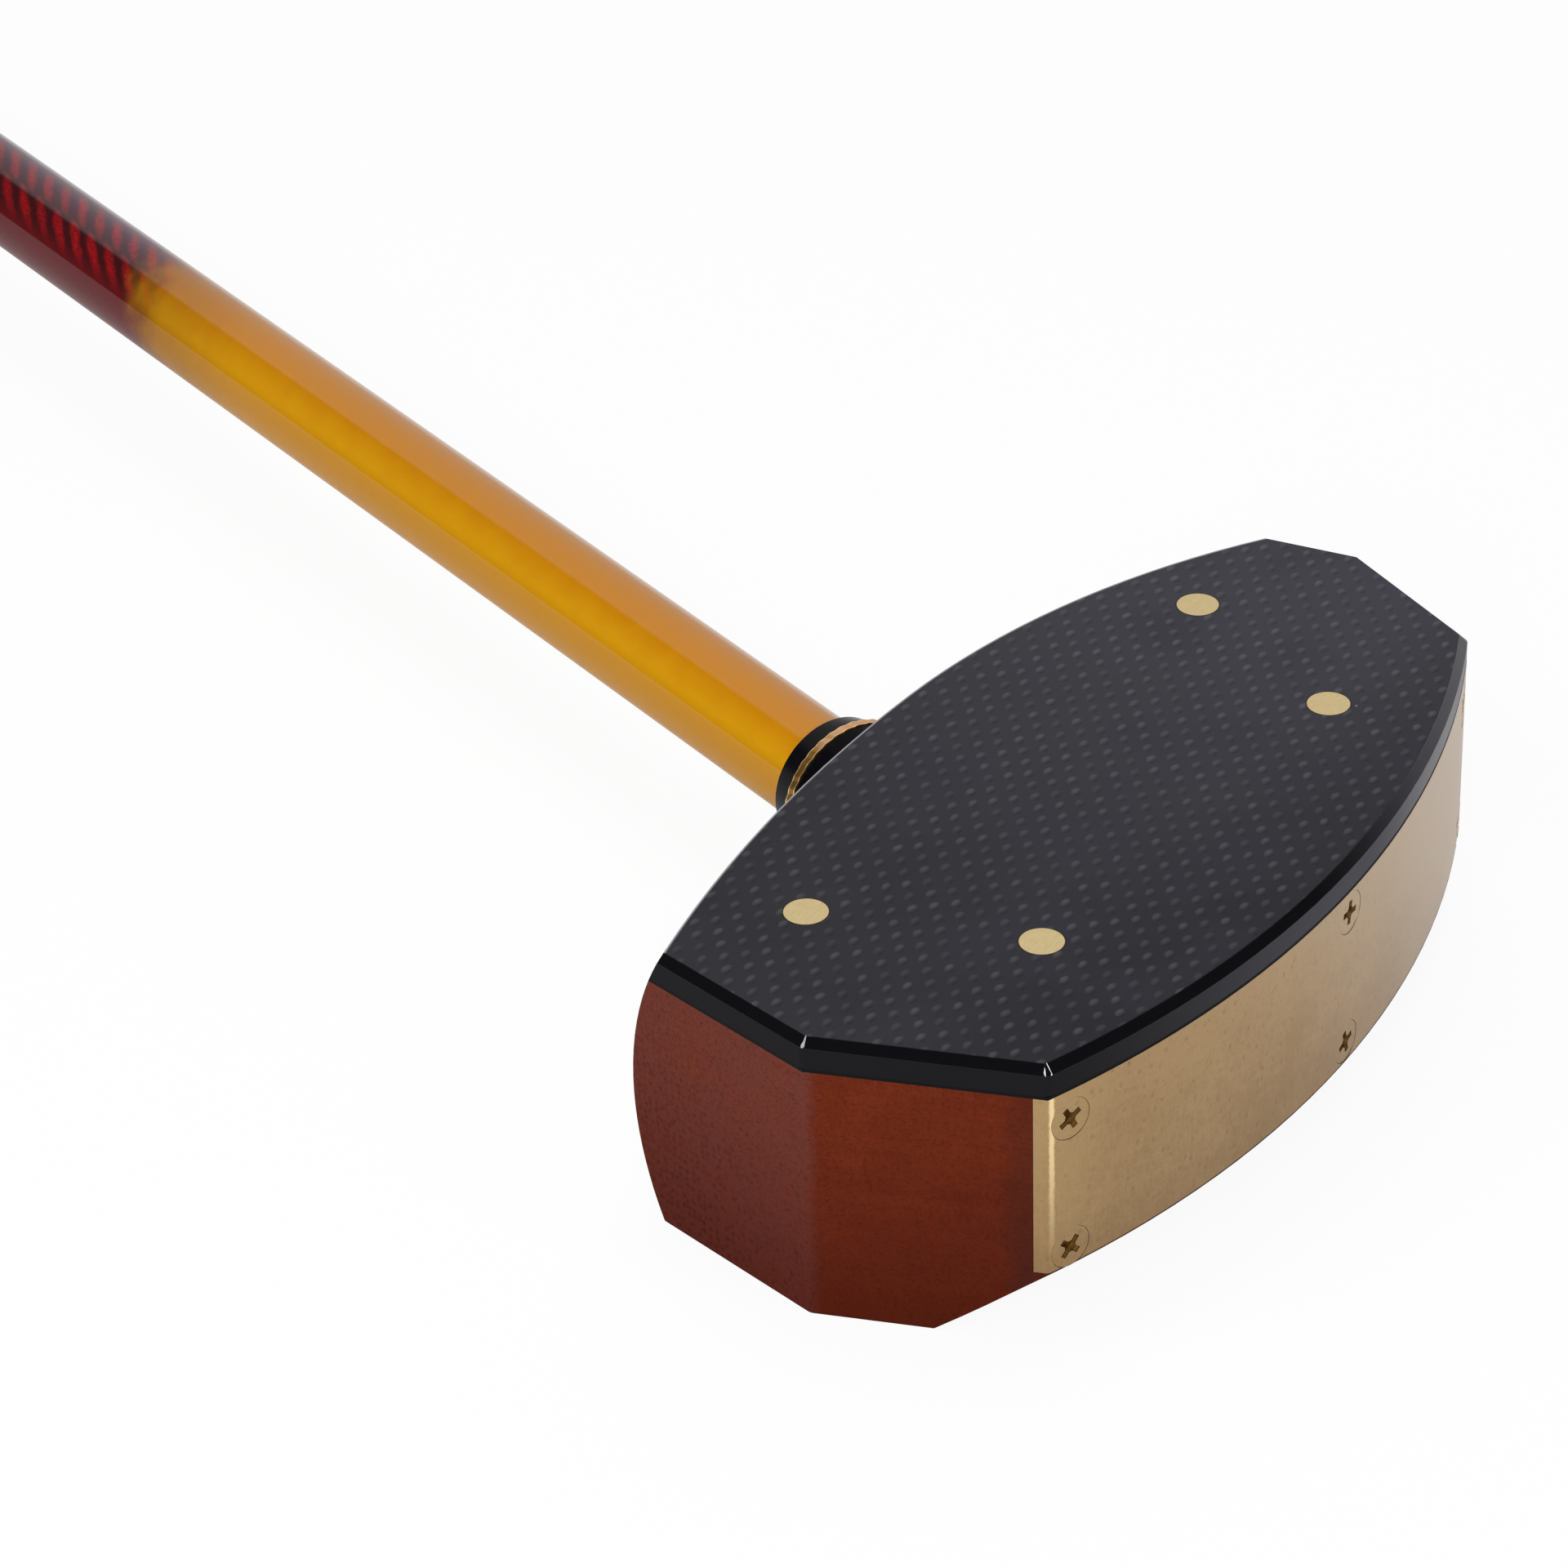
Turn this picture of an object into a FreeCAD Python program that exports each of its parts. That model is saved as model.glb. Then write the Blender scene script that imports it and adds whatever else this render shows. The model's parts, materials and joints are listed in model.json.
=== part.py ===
import FreeCAD, Part
import math
import os
import re
import Sketcher

# A right-handed park golf club, lying on the back of its head with its striking face up.
# X runs from the toe to the heel, Y from the sole to the crown and on up the shaft, and Z out of
# the striking face. The origin is on the head's flat back, under the middle of the four face pins.
# Every size is in millimetres and every angle in degrees.

doc = FreeCAD.newDocument("ParkGolfClub")
sheet = doc.addObject("Spreadsheet::Sheet", "Sizes")

sizes = {
    # The head's outline, seen square to the face
    "toeReach": (56.9, "toe corner between the two toe facets, towards the toe"),
    "toeMidDrop": (1.6, "the same corner, below the middle"),
    "toeTopReach": (53.4, "corner of the upper toe facet and the crown, towards the toe"),
    "toeTopRise": (19.4, "the same corner at the face, above the middle"),
    "toeSoleReach": (46.6, "corner of the lower toe facet and the sole, towards the toe"),
    "toeSoleDrop": (25.3, "the same corner, below the middle"),
    "heelReach": (58.2, "corner between the two heel facets, towards the heel"),
    "heelMidRise": (2.3, "the same corner, above the middle"),
    "heelTopReach": (56.0, "corner of the upper heel facet and the crown, towards the heel"),
    "heelTopRise": (12.8, "the same corner at the face, above the middle"),
    "heelSoleReach": (49.9, "corner of the lower heel facet and the sole, towards the heel"),
    "heelSoleDrop": (17.0, "the same corner, below the middle"),
    "crownX": (3.2, "highest point of the crown, towards the heel"),
    "crownRise": (27.95, "the same point at the face, above the middle"),
    "soleX": (8.5, "lowest point of the sole, towards the toe"),
    "soleDrop": (31.16, "lowest point of the sole, below the middle"),
    "crownRear": (1.1, "how much higher the crown is at the back than at the face"),
    "barrelRadius": (40.0, "how the crown swells between the back and the face"),
    # The wooden block
    "woodDepth": (31.9, "back of the head to the backing sheet"),
    "rearBevel": (9.3, "bevel along the rear sole edge"),
    "woodEdge": (0.5, "rounding of the block's edges"),
    "toeRound": (1.5, "rounding of the block's corner between the two toe facets"),
    # The face
    "backingDepth": (0.4, "thickness of the backing sheet"),
    "plateDepth": (3.6, "thickness of the face plate"),
    "plateBevel": (1.0, "bevel round the striking face"),
    "faceCorner": (0.3, "rounding of the striking face's corners, inside the bevel"),
    "pinRadius": (2.5, "face pin"),
    "pinLength": (14.0, "face pin"),
    "pinTipBevel": (0.4, "bevel at a face pin's hidden end"),
    "pinUpperX": (37.87, "upper pins, each side of the middle"),
    "pinUpperRise": (11.87, "upper pins, above the middle"),
    "pinLowerX": (28.25, "lower pins, each side of the middle"),
    "pinLowerDrop": (11.87, "lower pins, below the middle"),
    # The sole plate, its screws and the weights under it
    "soleThick": (1.2, "sole plate, square to the sole"),
    "soleWide": (22.4, "sole plate, front to back"),
    "soleCorner": (0.6, "rounding of the sole plate's end corners"),
    "screwToeX": (43.8, "screws near the toe, towards the toe"),
    "screwMiddleX": (3.0, "middle screws, towards the heel"),
    "screwHeelX": (47.3, "screws near the heel, towards the heel"),
    "screwToeFront": (3.6, "front screw near the toe, behind the sole plate's front edge"),
    "screwToeRear": (20.2, "rear screw near the toe, behind the same edge"),
    "screwMiddleFront": (2.75, "front middle screw, behind the same edge"),
    "screwMiddleRear": (19.9, "rear middle screw, behind the same edge"),
    "screwHeelFront": (3.9, "front screw near the heel, behind the same edge"),
    "screwHeelRear": (20.2, "rear screw near the heel, behind the same edge"),
    "turnToeFront": (28.0, "how far the front toe screw's recess is turned"),
    "turnToeRear": (49.0, "how far the rear toe screw's recess is turned"),
    "turnMiddleFront": (83.0, "how far the front middle screw's recess is turned"),
    "turnMiddleRear": (15.0, "how far the rear middle screw's recess is turned"),
    "turnHeelFront": (35.0, "how far the front heel screw's recess is turned"),
    "turnHeelRear": (62.0, "how far the rear heel screw's recess is turned"),
    "screwHeadRadius": (2.5, "countersunk head"),
    "screwRim": (0.1, "upright rim of the head"),
    "screwShankRadius": (1.35, "shank over the thread"),
    "screwLength": (12.0, "head to tip"),
    "screwPoint": (2.4, "tapered point"),
    "screwTipRadius": (0.3, "blunt end of the point"),
    "crossSpan": (2.9, "cross recess, tip to tip"),
    "crossArm": (0.72, "width of one arm of the recess"),
    "crossDepth": (0.65, "depth of the arms"),
    "crossWellRadius": (0.72, "round well in the middle of the recess"),
    "crossWellDepth": (1.15, "depth of the well"),
    "screwSink": (0.05, "head below the sole"),
    "weightRadius": (7.5, "weight slug"),
    "weightLength": (11.0, "weight slug"),
    "weightBevel": (0.6, "bevel at both ends of a slug"),
    "weightX": (20.0, "slugs, each side of the middle"),
    # The shaft and its trim rings, measured along the shaft's axis from the lower ring's seat
    "lieAngle": (73.26, "angle between the shaft and the X axis"),
    "seatX": (1.7, "seat of the lower ring, towards the heel"),
    "seatRise": (29.2, "seat of the lower ring, above the middle"),
    "axisHeight": (18.8, "shaft axis above the back of the head"),
    "shaftRadius": (6.5, "parallel lower stretch of the shaft"),
    "shaftWall": (1.6, "wall of the shaft"),
    "shaftInsert": (40.0, "length of shaft glued into the head"),
    "parallelReach": (200.0, "where the shaft starts to widen"),
    "shaftButtRadius": (7.6, "shaft at its upper end"),
    "clubReach": (777.0, "lower ring's seat to the end of the cap"),
    "lowerRingLength": (7.95, "lower ring"),
    "goldRingLength": (1.0, "gold ring"),
    "collarLength": (3.55, "upper collar"),
    "ringRadius": (9.0, "lower ring and gold ring"),
    "goldStep": (0.15, "gold ring proud of the lower ring"),
    "collarRadius": (8.8, "upper collar at the gold ring"),
    "collarTopRadius": (7.9, "upper collar at its top"),
    "ringEdge": (0.35, "rounding of the black rings' edges"),
    "facetDepth": (0.1, "depth of the facets cut in the gold ring"),
    "facetLean": (24.0, "lean of the facets"),
    "plugLength": (12.0, "plug in the shaft's tip"),
    # The grip
    "gripLength": (262.0, "grip sleeve"),
    "gripMouthRadius": (10.6, "grip sleeve at its lower end"),
    "gripButtRadius": (13.2, "grip sleeve at its upper end"),
    "gripWaist": (0.55, "how much slimmer the sleeve is at mid length than a plain cone"),
    "gripEdge": (0.8, "bevel of the sleeve's ends"),
    "tapeThick": (0.25, "tape under the sleeve"),
    "gripRingLength": (7.0, "trim ring at the sleeve's lower end"),
    "gripRingProud": (0.5, "trim ring proud of the sleeve"),
    "gripRingTaper": (1.6, "how much the trim ring narrows towards the head"),
    "capLength": (5.0, "butt cap outside the sleeve"),
    "capProud": (0.9, "butt cap wider than the sleeve"),
    "capEdge": (1.6, "rounding of the butt cap"),
    "spigotLength": (14.0, "butt cap inside the shaft"),
    "ventRadius": (1.0, "vent hole in the butt cap"),
    # Fits
    "glueGap": (0.05, "gap all round each glued or seated piece"),
    "overrun": (1.0, "how far a cutting shape passes the surface that it cuts"),
}
for row, (name, (number, note)) in enumerate(sizes.items(), start=1):
    sheet.set(f"A{row}", note)
    sheet.set(f"B{row}", str(number))
    sheet.setAlias(f"B{row}", name)
doc.recompute()

facetCount = 36


def levelArc(run, rise):
    """Radius of an arc that is level at one end and reaches (run, rise) from there."""
    return f"(({run})^2 + ({rise})^2) / (2 * ({rise}))"


# What follows from the sizes
formulas = {
    "crownToeRadius": levelArc("crownX + toeTopReach", "crownRise - toeTopRise"),
    "crownHeelRadius": levelArc("heelTopReach - crownX", "crownRise - heelTopRise"),
    "soleToeRadius": levelArc("toeSoleReach - soleX", "soleDrop - toeSoleDrop"),
    "soleHeelRadius": levelArc("heelSoleReach + soleX", "soleDrop - heelSoleDrop"),
    "faceHeight": "woodDepth + backingDepth + plateDepth",
    "crownSwell": "barrelRadius - sqrt(barrelRadius^2 - (faceHeight^2 + crownRear^2) / 4)",
    "blockTop": "crownRise + crownRear + crownSwell + overrun",
    "plateCorner": "plateBevel + faceCorner",
    "pinStart": "faceHeight - pinLength",
    "soleRear": "woodDepth - soleWide",
    "soleMiddle": "woodDepth - soleWide / 2",
    "farToe": "max(toeReach; toeTopReach) + overrun",
    "farHeel": "max(heelReach; heelTopReach) + overrun",
    "recessDepth": "soleThick + glueGap",
    "neckDepth": "screwHeadRadius - screwShankRadius",
    "facetHalf": f"{math.pi / facetCount} * (ringRadius + goldStep)",
    "sleeveEnd": "clubReach - capLength",
    "sleeveStart": "sleeveEnd - gripLength",
    "gripRingStart": "sleeveStart - gripRingLength",
    "ringTop": "lowerRingLength + goldRingLength",
    "tipBore": "shaftRadius - shaftWall",
    "buttBore": "shaftButtRadius - shaftWall",
    "shaftTaper": "(shaftButtRadius - shaftRadius) / (sleeveEnd - parallelReach)",
    "shaftAtSleeve": "shaftButtRadius - shaftTaper * gripLength",
    "sleeveGap": "tapeThick + 2 * glueGap",
    "waistRadius": "(gripMouthRadius + gripButtRadius) / 2 - gripWaist",
    "spigotRadius": "buttBore - shaftTaper * spigotLength - glueGap",
    "capRadius": "gripButtRadius + capProud",
}


def bound(text):
    """The text with each size's name turned into its cell, and each formula's name written out."""
    def swap(word):
        if word[0] in sizes:
            return f"Sizes.{word[0]}"
        if word[0] in formulas:
            return f"({bound(formulas[word[0]])})"
        return word[0]
    return re.sub(r"[A-Za-z]+", swap, text)


def value(text):
    """The number that an expression gives with the sizes in the sheet."""
    result = sheet.evalExpression(bound(text))
    return float(getattr(result, "Value", result))


def bind(target, **expressions):
    """Binds the named properties of an object to expressions in the sizes."""
    for name, text in expressions.items():
        target.setExpression(name, bound(text))


def near(first, second):
    return abs(first - second) < value("glueGap") / 2


# Bodies, sketches and the features that the pieces share
bodies = []


def newBody(label, place=None):
    body = doc.addObject("PartDesign::Body", label)
    body.Label = label
    if place:
        bind(body, Placement=place)
    bodies.append(body)
    return body


def originFeature(body, role):
    return next(item for item in body.Origin.OriginFeatures if item.Role == role)


def newSketch(body, role="XY_Plane", offset=None):
    sketch = body.newObject("Sketcher::SketchObject", "Sketch")
    sketch.AttachmentSupport = [(originFeature(body, role), "")]
    sketch.MapMode = "FlatFace"
    if offset:
        bind(sketch, AttachmentOffset=offset)
    return sketch


def raised(height):
    """The offset of a sketch that lies at a height above its plane."""
    return f"placement(vector(0; 0; {height}); rotation(vector(0; 0; 1); 0))"


def pinPoint(sketch, geometry, end, point):
    """Ties one end of a line or arc to a point given as a pair of expressions."""
    for kind, text, axis in (("DistanceX", point[0], -2), ("DistanceY", point[1], -1)):
        if text == "0":
            sketch.addConstraint(Sketcher.Constraint("PointOnObject", geometry, end, axis))
        else:
            row = sketch.addConstraint(Sketcher.Constraint(kind, -1, 1, geometry, end, value(text)))
            bind(sketch, **{f"Constraints[{row}]": text})


def addArc(sketch, start, end, radius, hollow):
    """Adds an arc of less than a half circle and gives its number and its two ends in order."""
    size = value(radius)
    chord = end - start
    across = FreeCAD.Vector(-chord.y, chord.x, 0).normalize()
    reach = math.sqrt(size ** 2 - (chord.Length / 2) ** 2)
    centre = (start + end) / 2 + across * (-reach if hollow else reach)
    first, last = (end, start) if hollow else (start, end)
    angles = [math.atan2(point.y - centre.y, point.x - centre.x) for point in (first, last)]
    if angles[1] < angles[0]:
        angles[1] += 2 * math.pi
    circle = Part.Circle(centre, FreeCAD.Vector(0, 0, 1), size)
    geometry = sketch.addGeometry(Part.ArcOfCircle(circle, *angles))
    row = sketch.addConstraint(Sketcher.Constraint("Radius", geometry, size))
    bind(sketch, **{f"Constraints[{row}]": radius})
    return geometry, ((2, 1) if hollow else (1, 2))


def addOutline(sketch, points, arcs=None, hollows=None):
    """Draws a closed outline through points given anticlockwise as pairs of expressions.
    arcs and hollows hold the radius of each side that swells outwards or inwards, by its number."""
    arcs = arcs or {}
    hollows = hollows or {}
    corners = [FreeCAD.Vector(value(across), value(up), 0) for across, up in points]
    sides = []
    for side, start in enumerate(corners):
        end = corners[(side + 1) % len(corners)]
        if side in arcs or side in hollows:
            sides.append(addArc(sketch, start, end, arcs.get(side) or hollows[side], side in hollows))
        else:
            sides.append((sketch.addGeometry(Part.LineSegment(start, end)), (1, 2)))
    for side, (geometry, ends) in enumerate(sides):
        following, followingEnds = sides[(side + 1) % len(sides)]
        sketch.addConstraint(Sketcher.Constraint("Coincident", geometry, ends[1],
                                                 following, followingEnds[0]))
        pinPoint(sketch, geometry, ends[0], points[side])


def revolved(body, kind, sketch, angle=360, reversed=False):
    feature = body.newObject(f"PartDesign::{kind}", kind)
    feature.Profile = sketch
    feature.ReferenceAxis = (sketch, ["V_Axis"])
    feature.Angle = angle
    feature.Reversed = reversed
    return feature


def turned(body, points, arcs=None, hollows=None, role="XY_Plane"):
    """A turned piece: the outline's first coordinate is a radius, its second runs along the axis."""
    sketch = newSketch(body, role)
    addOutline(sketch, points, arcs, hollows)
    return revolved(body, "Revolution", sketch)


def bored(body, place, points):
    """A stepped round hole about the Y axis of a place."""
    sketch = newSketch(body, "XY_Plane", place)
    addOutline(sketch, points)
    return revolved(body, "Groove", sketch)


def padded(body, points, arcs, height, start):
    sketch = newSketch(body, "XY_Plane", raised(start))
    addOutline(sketch, points, arcs)
    pad = body.newObject("PartDesign::Pad", "Pad")
    pad.Profile = sketch
    bind(pad, Length=height)
    return pad


def pocketed(body, sketch, depth):
    pocket = body.newObject("PartDesign::Pocket", "Pocket")
    pocket.Profile = sketch
    bind(pocket, Length=depth)
    return pocket


def edgesWhere(feature, test):
    """Names of the edges of a finished feature that pass a test on their bounds."""
    doc.recompute()
    return [f"Edge{number}" for number, edge in enumerate(feature.Shape.Edges, start=1)
            if test(edge.BoundBox)]


def dressed(body, kind, feature, test, size):
    """A fillet or chamfer on the edges that pass a test."""
    edges = edgesWhere(feature, test)
    dress = body.newObject(f"PartDesign::{kind}", kind)
    dress.Base = (feature, edges)
    bind(dress, **{"Radius" if kind == "Fillet" else "Size": size})
    return dress


def isUpright(box):
    return near(box.XLength, 0) and near(box.YLength, 0) and box.ZLength > value("plateDepth") / 2


def isCorner(box):
    """An upright edge between two facets, and not the one where the sole's two arcs run into each other."""
    return isUpright(box) and not near(box.XMin, value("-soleX"))


# The head's outline, anticlockwise from the toe corner between the two toe facets
toeCorner = ("-toeReach", "-toeMidDrop")
toeSoleCorner = ("-toeSoleReach", "-toeSoleDrop")
soleLow = ("-soleX", "-soleDrop")
heelSoleCorner = ("heelSoleReach", "-heelSoleDrop")
heelCorner = ("heelReach", "heelMidRise")
heelTopCorner = ("heelTopReach", "heelTopRise")
crownHigh = ("crownX", "crownRise")
toeTopCorner = ("-toeTopReach", "toeTopRise")
headOutline = [toeCorner, toeSoleCorner, soleLow, heelSoleCorner, heelCorner, heelTopCorner, crownHigh,
               toeTopCorner]
headArcs = {1: "soleToeRadius", 2: "soleHeelRadius", 5: "crownHeelRadius", 6: "crownToeRadius"}


def solePoint(along, radius, depth):
    """A point at a depth under the sole, given the expression of its X."""
    return (along, f"{radius} - soleDrop - sqrt(({radius} - {depth})^2 - ({along} + soleX)^2)")


def onSole(along, radius, height, turn="0"):
    """A place on the sole with its Y axis pointing squarely into the head, turned about that axis."""
    return (f"placement(vector({along}; {solePoint(along, radius, '0')[1]}; {height}); "
            f"rotation(vector(0; 0; 1); asin(({along} + soleX) / {radius})) * "
            f"rotation(vector(0; 1; 0); -({turn})))")


# Name of each screw, with the radius of its part of the sole
screws = {
    "toe_front": ("-screwToeX", "soleToeRadius", "screwToeFront", "turnToeFront"),
    "toe_rear": ("-screwToeX", "soleToeRadius", "screwToeRear", "turnToeRear"),
    "middle_front": ("screwMiddleX", "soleHeelRadius", "screwMiddleFront", "turnMiddleFront"),
    "middle_rear": ("screwMiddleX", "soleHeelRadius", "screwMiddleRear", "turnMiddleRear"),
    "heel_front": ("screwHeelX", "soleHeelRadius", "screwHeelFront", "turnHeelFront"),
    "heel_rear": ("screwHeelX", "soleHeelRadius", "screwHeelRear", "turnHeelRear"),
}
pins = {
    "toe_upper": ("-pinUpperX", "pinUpperRise"),
    "heel_upper": ("pinUpperX", "pinUpperRise"),
    "toe_lower": ("-pinLowerX", "-pinLowerDrop"),
    "heel_lower": ("pinLowerX", "-pinLowerDrop"),
}
weights = {
    "toe_weight": ("-weightX", "soleToeRadius"),
    "heel_weight": ("weightX", "soleHeelRadius"),
}


def weightSeat(radius):
    """How far under the sole a slug's flat end clears the curved plate."""
    inner = f"({radius} - recessDepth)"
    return f"recessDepth + {inner} - sqrt({inner}^2 - weightRadius^2)"


def boreScrewHoles(body):
    rimDepth = "screwSink + screwRim"
    mouth = "screwHeadRadius + glueGap"
    shank = "screwShankRadius + glueGap"
    for along, radius, behind, _ in screws.values():
        bored(body, onSole(along, radius, f"woodDepth - {behind}"),
              [("0", "-overrun"), (mouth, "-overrun"), (mouth, rimDepth),
               (shank, f"{rimDepth} + neckDepth"), (shank, "screwSink + screwLength + glueGap"),
               ("0", "screwSink + screwLength + glueGap")])


def drillPinHoles(body):
    for across, up in pins.values():
        hole = body.newObject("PartDesign::SubtractiveCylinder", "PinHole")
        bind(hole, Radius="pinRadius + glueGap", Height="pinLength + glueGap + overrun",
             Placement=f"placement(vector({across}; {up}; pinStart - glueGap); "
                       "rotation(vector(0; 0; 1); 0))")


# The shaft's own axis is the Y axis of this place
shaftPlace = "placement(vector(seatX; seatRise; axisHeight); rotation(vector(0; 0; 1); lieAngle - 90))"


def farAlong(corner, beyond):
    """X at the block's top of a facet's line, from its middle corner through its top corner."""
    (startX, startY), (endX, endY) = corner, beyond
    return f"{startX} + ({endX} - ({startX})) * (blockTop - ({startY})) / ({endY} - ({startY}))"


def headSlice(body, depth, start):
    """A slice of the head's full outline, under the crown that swells like a barrel."""
    padded(body, [toeCorner, toeSoleCorner, soleLow, heelSoleCorner, heelCorner,
                  (farAlong(heelCorner, heelTopCorner), "blockTop"),
                  (farAlong(toeCorner, toeTopCorner), "blockTop")],
           {1: "soleToeRadius", 2: "soleHeelRadius"}, depth, start)
    for radius, reverse in (("crownToeRadius", False), ("crownHeelRadius", True)):
        sketch = newSketch(body, "YZ_Plane",
                           f"placement(vector(crownRise - {radius}; 0; crownX); "
                           "rotation(vector(0; 0; 1); 0))")
        outer = f"{radius} + crownRise"
        rear = f"{radius} + crownRear"
        addOutline(sketch, [(rear, "-overrun"), (outer, "-overrun"), (outer, "faceHeight + overrun"),
                            (radius, "faceHeight + overrun"), (radius, "faceHeight"), (rear, "0")],
                   hollows={4: "barrelRadius"})
        crowned = revolved(body, "Groove", sketch, angle=45, reversed=reverse)
    return crowned


# Wooden block
def makeHeadBlock():
    body = newBody("head_block")
    crowned = headSlice(body, "woodDepth", "0")
    bevelled = dressed(body, "Chamfer", crowned, lambda box: near(box.ZMax, 0)
                       and near(box.YMin, value("-soleDrop")), "rearBevel")
    rounded = dressed(body, "Fillet", bevelled, lambda box: isUpright(box)
                      and near(box.YMin, value("-toeMidDrop")), "toeRound")
    dressed(body, "Fillet", rounded, lambda box: near(box.ZMax, 0) and box.YMax > value("-toeSoleDrop")
            or isUpright(box) and near(box.YMin, value("heelMidRise")), "woodEdge")
    recess = newSketch(body, "XY_Plane", raised("woodDepth"))
    addOutline(recess, [("-farToe", "-soleDrop - overrun"), ("farHeel", "-soleDrop - overrun"),
                        solePoint("farHeel", "soleHeelRadius", "recessDepth"),
                        ("-soleX", "recessDepth - soleDrop"),
                        solePoint("-farToe", "soleToeRadius", "recessDepth")],
               hollows={2: "soleHeelRadius - recessDepth", 3: "soleToeRadius - recessDepth"})
    pocketed(body, recess, "soleWide")
    bored(body, shaftPlace,
          [("0", "-shaftInsert - glueGap"), ("shaftRadius + glueGap", "-shaftInsert - glueGap"),
           ("shaftRadius + glueGap", "0"), ("ringRadius + glueGap", "0"),
           ("ringRadius + glueGap", "ringTop"), ("0", "ringTop")])
    for along, radius in weights.values():
        wall = "weightRadius + glueGap"
        end = f"{weightSeat(radius)} + weightLength + glueGap"
        bored(body, onSole(along, radius, "soleMiddle"), [("0", "0"), (wall, "0"), (wall, end), ("0", end)])
    boreScrewHoles(body)
    drillPinHoles(body)


# Backing sheet and face plate
def makeBackingSheet():
    body = newBody("backing_sheet")
    headSlice(body, "backingDepth", "woodDepth")
    drillPinHoles(body)


def makeFacePlate():
    body = newBody("face_plate")
    crowned = headSlice(body, "plateDepth", "woodDepth + backingDepth")
    rounded = dressed(body, "Fillet", crowned, isCorner, "plateCorner")
    dressed(body, "Chamfer", rounded, lambda box: near(box.ZMin, value("faceHeight"))
            and not near(box.YMax, value("crownRise")), "plateBevel")
    drillPinHoles(body)


def makeFacePins():
    for name, (across, up) in pins.items():
        body = newBody(f"face_pin_{name}",
                       f"placement(vector({across}; {up}; 0); rotation(vector(0; 0; 1); 0))")
        turned(body, [("0", "pinStart"), ("pinRadius - pinTipBevel", "pinStart"),
                      ("pinRadius", "pinStart + pinTipBevel"), ("pinRadius", "faceHeight"),
                      ("0", "faceHeight")], role="XZ_Plane")


# Sole plate
def makeSolePlate():
    body = newBody("sole_plate")
    padded(body, headOutline, headArcs, "soleWide", "soleRear")
    inside = newSketch(body, "XY_Plane", raised("woodDepth"))
    addOutline(inside, [solePoint("-farToe", "soleToeRadius", "soleThick"),
                        ("-soleX", "soleThick - soleDrop"),
                        solePoint("farHeel", "soleHeelRadius", "soleThick"), ("farHeel", "blockTop"),
                        ("-farToe", "blockTop")],
               {0: "soleToeRadius - soleThick", 1: "soleHeelRadius - soleThick"})
    strip = pocketed(body, inside, "soleWide")
    dressed(body, "Fillet", strip, lambda box: isUpright(box)
            and (near(box.YMin, value("-toeSoleDrop")) or near(box.YMin, value("-heelSoleDrop"))),
            "soleCorner")
    boreScrewHoles(body)


# Sole screws
def addCircle(sketch, radius):
    circle = Part.Circle(FreeCAD.Vector(0, 0, 0), FreeCAD.Vector(0, 0, 1), value(radius))
    geometry = sketch.addGeometry(circle)
    sketch.addConstraint(Sketcher.Constraint("Coincident", geometry, 3, -1, 1))
    row = sketch.addConstraint(Sketcher.Constraint("Radius", geometry, value(radius)))
    bind(sketch, **{f"Constraints[{row}]": radius})


def makeSoleScrews():
    tip = "screwSink + screwLength"
    rimDepth = "screwSink + screwRim"
    for name, (along, radius, behind, turn) in screws.items():
        body = newBody(f"sole_screw_{name}", onSole(along, radius, f"woodDepth - {behind}", turn))
        turned(body, [("0", "screwSink"), ("screwHeadRadius", "screwSink"), ("screwHeadRadius", rimDepth),
                      ("screwShankRadius", f"{rimDepth} + neckDepth"),
                      ("screwShankRadius", f"{tip} - screwPoint"), ("screwTipRadius", tip), ("0", tip)])
        cross = newSketch(body, "XZ_Plane", raised("-screwSink"))
        addOutline(cross, [("crossArm / 2", "crossArm / 2"), ("crossArm / 2", "crossSpan / 2"),
                           ("-crossArm / 2", "crossSpan / 2"), ("-crossArm / 2", "crossArm / 2"),
                           ("-crossSpan / 2", "crossArm / 2"), ("-crossSpan / 2", "-crossArm / 2"),
                           ("-crossArm / 2", "-crossArm / 2"), ("-crossArm / 2", "-crossSpan / 2"),
                           ("crossArm / 2", "-crossSpan / 2"), ("crossArm / 2", "-crossArm / 2"),
                           ("crossSpan / 2", "-crossArm / 2"), ("crossSpan / 2", "crossArm / 2")])
        pocketed(body, cross, "crossDepth")
        well = newSketch(body, "XZ_Plane", raised("-screwSink"))
        addCircle(well, "crossWellRadius")
        pocketed(body, well, "crossWellDepth")


# Weight slugs under the sole plate
def makeWeights():
    for name, (along, radius) in weights.items():
        body = newBody(name, onSole(along, radius, "soleMiddle"))
        start = weightSeat(radius)
        end = f"{start} + weightLength"
        turned(body, [("0", start), ("weightRadius - weightBevel", start),
                      ("weightRadius", f"{start} + weightBevel"), ("weightRadius", f"{end} - weightBevel"),
                      ("weightRadius - weightBevel", end), ("0", end)])


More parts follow.
